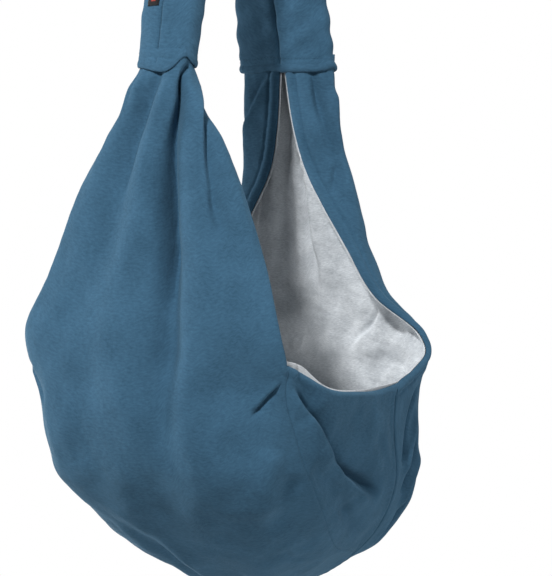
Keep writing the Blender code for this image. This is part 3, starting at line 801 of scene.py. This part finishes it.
for name in PANELS:
    points, out = GRID[name][0], OUT[name]
    shared, shell, lining, from_mouth = relief(name)
    pinch = 1 - smooth(from_mouth / PINCH_REACH)
    base = points + out * shared[..., None]
    outer = base + out * shell[..., None]
    inner = base - out * (SHELL_THICK + (SHELL_EDGE - SHELL_THICK) * pinch)[..., None]
    piece = thin_body("cloth_shell_" + name, outer, inner, PETROL)
    settle(piece, name)
    extra = [GATHERS[name]] if name in GATHERS else []
    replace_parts(piece, "shell_" + name, "wadding_" + name, *extra)
    over = edge_way(name) * (proud(name) * (1 - smooth(from_mouth / PROUD_REACH)))[..., None]
    hidden = base - out * (LINING_DEPTH + (LINING_EDGE - LINING_DEPTH) * pinch)[..., None]
    seen = base + out * (-(LINING_DEPTH + LINING_THICK) + lining)[..., None]
    piece = thin_body("cloth_lining_" + name, hidden + over, seen + over, MARL)
    settle(piece, name)
    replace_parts(piece, "lining_" + name)


# ---------------------------------------------------------------- the strap
def strap_line():
    """Angle of the leaning legs from vertical, their length and the length of the arch."""
    rise = TOP_DEPTH / 2 - TOP_RADIUS - TIP_Z
    reach = math.hypot(TIP_Y, rise)
    lean = math.atan2(TIP_Y, rise) - math.asin(TOP_RADIUS / reach)
    return lean, math.sqrt(reach**2 - TOP_RADIUS**2), TOP_RADIUS * (math.pi - 2 * lean)


LEAN, LEG, ARCH = strap_line()
STRAP_LENGTH = 2 * LEG + ARCH


BUNCH_PITCH, SLANT_PITCH, PULL_PITCH = 0.0165, 0.034, 0.045
HEM_AT = 0.0115
TIP_STATIONS = np.array([0.0005, 0.0012, 0.0025, 0.0045, 0.0065, 0.008, 0.0095, 0.011, 0.0125,
                         0.0145])
TUCKED_IN = ((0.003, 0.0026), (0.010, 0.0032), (0.020, 0.0040))  # way up inside, inset


def strap_place(distance, angle, depth):
    """A point of the strap at a distance from its near tip and an angle of its section."""
    given = (np.asarray(v, float) for v in (distance, angle, depth))
    distance, angle, depth = np.broadcast_arrays(*given)
    start = LEAN - np.pi / 2
    turn = start + np.clip((distance - LEG) / TOP_RADIUS, 0, ARCH / TOP_RADIUS)
    before, after = np.minimum(distance, LEG), np.maximum(distance - LEG - ARCH, 0)
    y = -TIP_Y + (before + after) * math.sin(LEAN) + TOP_RADIUS * (np.sin(turn) - math.sin(start))
    z = TIP_Z + (before - after) * math.cos(LEAN) + TOP_RADIUS * (np.cos(turn) - math.cos(start))
    level = smooth(1 - np.minimum(distance, STRAP_LENGTH - distance) / LEVEL_LENGTH)
    normal = turn + level * np.where(distance < STRAP_LENGTH / 2, -LEAN, LEAN)
    share = np.clip(distance / STRAP_LENGTH, 0, 1)
    half_width = through(STRAP_AT, STRAP_HALF_WIDTH, share) - depth
    half_depth = through(STRAP_AT, STRAP_HALF_DEPTH, share) - depth
    x = half_width * bend(np.cos(angle), 2 / STRAP_POWER)
    out = half_depth * bend(np.sin(angle), 2 / STRAP_POWER)
    return np.stack([x, y + out * np.sin(normal), z + out * np.cos(normal)], -1)


def tip_lift(near, angle):
    """How much higher than level the strap ends at each angle, where the pleats push it up."""
    deg = (np.degrees(angle) + 90) % 360 - 90
    if near:
        lift = 9.5 * bump(deg - 27, 27) - 4.0 * bump(deg - 78, 26) + 1.5 * bump(deg - 250, 30)
    else:
        lift = (3.5 * bump(deg - 352, 24) + 3.5 * bump(deg + 8, 24) + 1.5 * bump(deg - 262, 10)
                - 1.0 * bump(deg - 225, 20))
    return lift * MM


def lifted(distance, angle):
    """Distances moved away from the tips where those are lifted."""
    near = tip_lift(True, angle) * (1 - smooth(distance / 0.05))
    far = tip_lift(False, angle) * (1 - smooth((STRAP_LENGTH - distance) / 0.04))
    return distance + near - far


def strap_relief(distance, angle):
    """Height of the strap's cloth over its plain form, in metres."""
    p = strap_place(distance, angle, 0.0)
    across = np.abs(p[..., 0]) / MM
    groove = -1.7 * bump(across, 1.1) + 0.8 * bump(across - 6.5, 6.0)
    groove = groove * (0.55 + 0.45 * smooth(distance / STRAP_LENGTH))
    soft = rng_waves(p, 0.070, 23) * 0.55 + rng_waves(p, 0.026, 29, (1, 1, 1.3)) * 0.25
    fine = rng_waves(p, 0.012, 31) * 0.10
    # The inner side of the arch bunches up.
    over = smooth((distance - LEG + 0.03) / 0.04) * smooth((LEG + ARCH + 0.03 - distance) / 0.04)
    bunch = np.sin(2 * np.pi * distance / BUNCH_PITCH + 1.5 * np.sin(p[..., 0] / 0.016))
    bunch = bunch * 1.3 * over * smooth(-np.sin(angle) * 1.6)
    # Drag lines slant across the far leg, and the near end is drawn in.
    slant = 2 * np.pi * (distance + p[..., 0] * 0.9) / SLANT_PITCH
    slant = np.sin(slant + 2.0 * np.sin(distance / 0.03))
    far = smooth((distance - LEG - ARCH) / 0.06) * smooth((STRAP_LENGTH - distance) / 0.02)
    pull = np.sin(2 * np.pi * (distance - 0.35 * p[..., 0]) / PULL_PITCH + 0.8)
    pull = pull * smooth(1 - distance / 0.11)
    return (groove + soft + fine + bunch + 0.5 * slant * far + 0.3 * pull) * MM


def strap_half(name, side):
    """One half of the padded strap: a stuffed tube with the seam's wall on its inner side."""
    between = np.linspace(0.017, STRAP_LENGTH - 0.017, 300)
    stations = np.concatenate([TIP_STATIONS, between, STRAP_LENGTH - TIP_STATIONS[::-1]])
    share = np.linspace(-1, 1, 73)
    share = share * 0.5 + np.sin(share * np.pi / 2) * 0.5  # closer at the seams
    angle = (0 if side > 0 else np.pi) + share * np.pi / 2
    from_tip = np.minimum(stations, STRAP_LENGTH - stations)
    depth = 0.0024 * rounding(from_tip, 0.0040)
    moved = lifted(stations[:, None], angle[None])
    height = strap_relief(moved, angle[None] + 0 * moved) * smooth(from_tip / 0.02)[:, None]
    # A crease above each hem.
    far_hem = 0.4 * bump(STRAP_LENGTH - stations - HEM_AT, 0.0016)
    hem = -0.2 * bump(stations - HEM_AT, 0.0016) - far_hem
    height = height + hem[:, None] * MM
    skin = strap_place(moved, angle[None], depth[:, None] - height)
    # Down inside each end, where the neck goes in.
    tips = []
    for row, way in ((0, 1), (-1, -1)):
        steps = [strap_place(moved[row] + way * rise, angle, inset) for rise, inset in TUCKED_IN]
        tips.append(np.stack(steps))
    skin = np.concatenate([tips[0][::-1], skin, tips[1]])
    gap = 0.00015 * side  # the halves don't quite touch
    skin[..., 0] = np.where(np.abs(skin[..., 0]) < abs(gap), gap, skin[..., 0])
    wall = np.linspace(0, 1, 7)[1:-1][None, :, None]
    wall = skin[:, [-1]] + (skin[:, [0]] - skin[:, [-1]]) * wall
    rings = np.concatenate([skin, wall], 1)
    number = np.arange(rings.shape[0] * rings.shape[1]).reshape(rings.shape[:2])
    points = np.concatenate([rings.reshape(-1, 3), rings[[0, -1]].mean(1)])
    uv = np.concatenate([metric(rings).reshape(-1, 2), np.zeros((2, 2))])
    piece = from_quads(name, points, grid_quads(number, True), uv, PETROL)
    close_caps(piece, number, len(points))
    return piece


def close_caps(piece, number, total):
    """Fans over the first and last ring of a tube whose two middle points come last."""
    work = bmesh.new()
    work.from_mesh(piece.data)
    work.verts.ensure_lookup_table()
    for ring, middle in ((number[0], total - 2), (number[-1], total - 1)):
        for a, b in zip(ring, np.roll(ring, -1)):
            face = work.faces.new([work.verts[int(k)] for k in (a, b, middle)])
            face.smooth = True
    bmesh.ops.recalc_face_normals(work, faces=work.faces)
    work.to_mesh(piece.data)
    work.free()


def on_strap(piece):
    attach(piece, "strap")


right = strap_half("strap_half_right", 1)
left = strap_half("strap_half_left", -1)
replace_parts(right, "strap_cover_right", "strap_padding")
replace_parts(left, "strap_cover_left")
for piece in (right, left):
    on_strap(piece)


# ---------------------------------------------------------------- the cuffs
CUFF_LENGTH, CUFF_SUNK, CUFF_RISE = 0.0100, 0.0005, 0.35  # it is fullest at CUFF_RISE
CUFF_OVERHANG = 0.0006


def cuff(name, near, bulge):
    """A rolled hem round the strap's end: a closed loop of cloth, carried round it."""
    turn = np.linspace(0, 1, 15)
    rise = np.sin(np.pi / 2 * np.clip(turn / CUFF_RISE, 0, 1)) ** 0.5
    fall = 1 - smooth((turn - CUFF_RISE) / (1 - CUFF_RISE))
    height = -CUFF_SUNK + (bulge + CUFF_SUNK) * rise * fall
    along = -CUFF_OVERHANG + CUFF_LENGTH * turn
    around = np.linspace(0, 2 * np.pi, 241)[:-1]
    lift = tip_lift(near, around)
    start, way = (0.0, 1) if near else (STRAP_LENGTH, -1)
    wave = 0.00012 * np.sin(around * 23 + 1.7 * np.sin(around * 3))
    wave = wave + 0.00006 * np.sin(around * 41)
    d = start + way * (along[:, None] + lift[None, :])
    skin = strap_relief(d, around[None] + 0 * d) * smooth((along + CUFF_OVERHANG) / 0.02)[:, None]
    height = height[:, None] + wave[None, :] * np.sin(np.pi * turn)[:, None] + skin
    outer = strap_place(d, around[None], -height)
    inner = strap_place(d, around[None], 0.0006 + 0 * d)
    piece = thin_body(name, outer, inner, PETROL_HEM, wrap=True)
    on_strap(piece)
    return piece


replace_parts(cuff("cuff_roll_near", True, 0.0006), "near_cuff")
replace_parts(cuff("cuff_roll_far", False, 0.0014), "far_cuff")

# ---------------------------------------------------------------- the label
LABEL_X = (-0.0150, -0.0030)
LABEL_ABOVE_TIP = (0.0500, 0.0750)
BAR_X = (LABEL_X[0] + 0.0042, LABEL_X[1] - 0.0032)
BAR_ABOVE_TIP = (0.0535, 0.0557)


def patch(name, x_range, above, lift, thick, material, round_by=0.0012):
    """A small flat piece of tape that lies on the outward face of the near leg."""
    wide, tall = x_range[1] - x_range[0], above[1] - above[0]
    along = np.linspace(*above, 41) / math.cos(LEAN)
    share = np.linspace(0, 1, 25)
    x = x_range[0] + wide * share
    half = through(STRAP_AT, STRAP_HALF_WIDTH, along / STRAP_LENGTH)
    angle = np.arccos(np.clip(bend(x[None] / half[:, None], STRAP_POWER / 2), -1, 1))
    u = np.abs(2 * share - 1)[None] * wide / 2
    v = np.abs(np.linspace(-1, 1, 41))[:, None] * tall / 2
    inset = np.minimum(wide / 2 - u, tall / 2 - v)
    drop = (1 - smooth(inset / round_by)) * thick * 0.7
    height = strap_relief(along[:, None] + 0 * angle, angle)
    outer = strap_place(along[:, None], angle, -(height + lift + thick - drop))
    inner = strap_place(along[:, None], angle, -(height + lift))
    return thin_body(name, outer, inner, material)


label = patch("label_plain", LABEL_X, LABEL_ABOVE_TIP, 0.0004, 0.0008, TAPE)
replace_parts(label, "strap_label")
on_strap(label)
on_strap(patch("label_bar", BAR_X, BAR_ABOVE_TIP, 0.0012, 0.0003, BAR, 0.0004))


# ---------------------------------------------------------------- stitches
STITCH, STITCH_GAP, STITCH_THICK, STITCH_SIDES = 0.0026, 0.0011, 0.00032, 6
STITCHES_AT = 0.0128  # above the strap's end


def stitches(name, line, normals):
    """A row of stitches along a line over the cloth, each one a small rounded thread."""
    run = run_along(line)
    ring = np.linspace(0, 2 * np.pi, STITCH_SIDES + 1)[:-1]
    points, faces = [], []
    shares = np.array([0, 0.12, 0.5, 0.88, 1.0])
    widths = np.array([0.15, 0.8, 1.0, 0.8, 0.15]) * STITCH_THICK
    rises = np.array([-0.9, -0.25, 0.05, -0.25, -0.9]) * STITCH_THICK
    number = np.arange(len(shares) * STITCH_SIDES).reshape(len(shares), STITCH_SIDES)
    pattern = grid_quads(number, True)
    caps = [np.roll(number[0][::-1], 1).tolist(), number[-1].tolist()]
    for begin in np.arange(STITCH_GAP, run[-1] - STITCH, STITCH + STITCH_GAP):
        at = begin + shares * STITCH
        centre, up = (np.stack([np.interp(at, run, values[:, k]) for k in range(3)], -1)
                      for values in (line, normals))
        up = unit(up)
        way = unit(centre[-1] - centre[0])
        across = unit(np.cross(way, up))
        centre = centre + up * rises[:, None]
        circle = np.cos(ring)[None, :, None] * across[:, None]
        circle = circle + np.sin(ring)[None, :, None] * up[:, None] * 0.7
        base = len(points) * number.size
        points.append(centre[:, None] + circle * widths[:, None, None])
        faces += (pattern + base).tolist() + [[base + k for k in cap] for cap in caps]
    points = np.concatenate(points).reshape(-1, 3)
    on_strap(cloth_mesh(name, points, faces, points[:, :2], THREAD))


for name, near in (("near", True), ("far", False)):
    around = np.linspace(0, 2 * np.pi, 400)
    distance = STITCHES_AT + tip_lift(near, around)
    d = distance if near else STRAP_LENGTH - distance
    height = strap_relief(d, around) * smooth(distance / 0.02)
    line = strap_place(d, around, -height)
    centre = strap_place(d, around, 0.008 - height)
    stitches(f"stitches_cuff_{name}", line, unit(line - centre))

# ---------------------------------------------------------------- floor, lights, camera
EYE, AIM = (1.3392, -2.2368, -0.4049), (0.0410, 0.0118, -0.5409)
LENS, SENSOR = 180.6, 36
FLOOR_Z, FLOOR_RADIUS = -1.60, 4.9
LIT = (0, 0, -0.55)  # where the lights point
LIGHTS = {  # place, size and power
    "key": ((0.31, -1.95, 0.99), 0.25, 66),
    "left": ((-2.30, -0.60, -0.35), 0.5, 32),
    "fill": ((2.25, 0.3, -0.2), 1.2, 16),
    "rim": ((-1.6, 1.3, -1.1), 1.0, 16),
}
SWEEP_WAY = (-0.2, 0.98, 0.0)  # towards the brightest part of the room
SWEEP = {"From Min": -0.3, "From Max": 0.9, "To Min": 0.09, "To Max": 0.80}


def look(obj, place, target):
    obj.location = place
    obj.rotation_euler = (Vector(target) - Vector(place)).to_track_quat("-Z", "Y").to_euler()


def floor():
    mesh = bpy.data.meshes.new("floor")
    steps = np.linspace(0, 2 * np.pi, 97)[:-1]
    ring = [(FLOOR_RADIUS * math.cos(a), FLOOR_RADIUS * math.sin(a), FLOOR_Z) for a in steps]
    mesh.from_pydata(ring, [], [list(range(len(ring)))])
    link("floor", mesh, new_material("floor_white", (0.65, 0.65, 0.65), 0.8)[0])


def studio():
    """White to the camera, and a soft light that is dimmer towards the front."""
    world = bpy.data.worlds.new("studio")
    world.use_nodes = True
    tree = world.node_tree
    link_up = tree.links.new
    room = tree.nodes["Background"]
    room.inputs["Color"].default_value = (1, 1, 1, 1)
    facing_it = add(tree, "ShaderNodeVectorMath", operation="DOT_PRODUCT")
    facing_it.inputs[1].default_value = SWEEP_WAY
    link_up(add(tree, "ShaderNodeTexCoord").outputs["Generated"], facing_it.inputs[0])
    level = add(tree, "ShaderNodeMapRange", **SWEEP)
    link_up(facing_it.outputs["Value"], level.inputs["Value"])
    link_up(level.outputs["Result"], room.inputs["Strength"])
    white = add(tree, "ShaderNodeBackground", Color=(1, 1, 1, 1), Strength=1.0)
    either = add(tree, "ShaderNodeMixShader")
    link_up(add(tree, "ShaderNodeLightPath").outputs["Is Camera Ray"], either.inputs[0])
    link_up(room.outputs[0], either.inputs[1])
    link_up(white.outputs[0], either.inputs[2])
    link_up(either.outputs[0], tree.nodes["World Output"].inputs["Surface"])
    bpy.context.scene.world = world
    bpy.context.scene.view_settings.view_transform = "Standard"


floor()
for name, (place_at, size, power) in LIGHTS.items():
    data = bpy.data.lights.new(name, "AREA")
    data.shape, data.size, data.energy = "DISK", size, power
    look(link(name, data), place_at, LIT)
studio()

data = bpy.data.cameras.new("camera")
data.lens, data.sensor_width = LENS, SENSOR
camera = link("camera", data)
look(camera, EYE, AIM)
bpy.context.scene.camera = camera
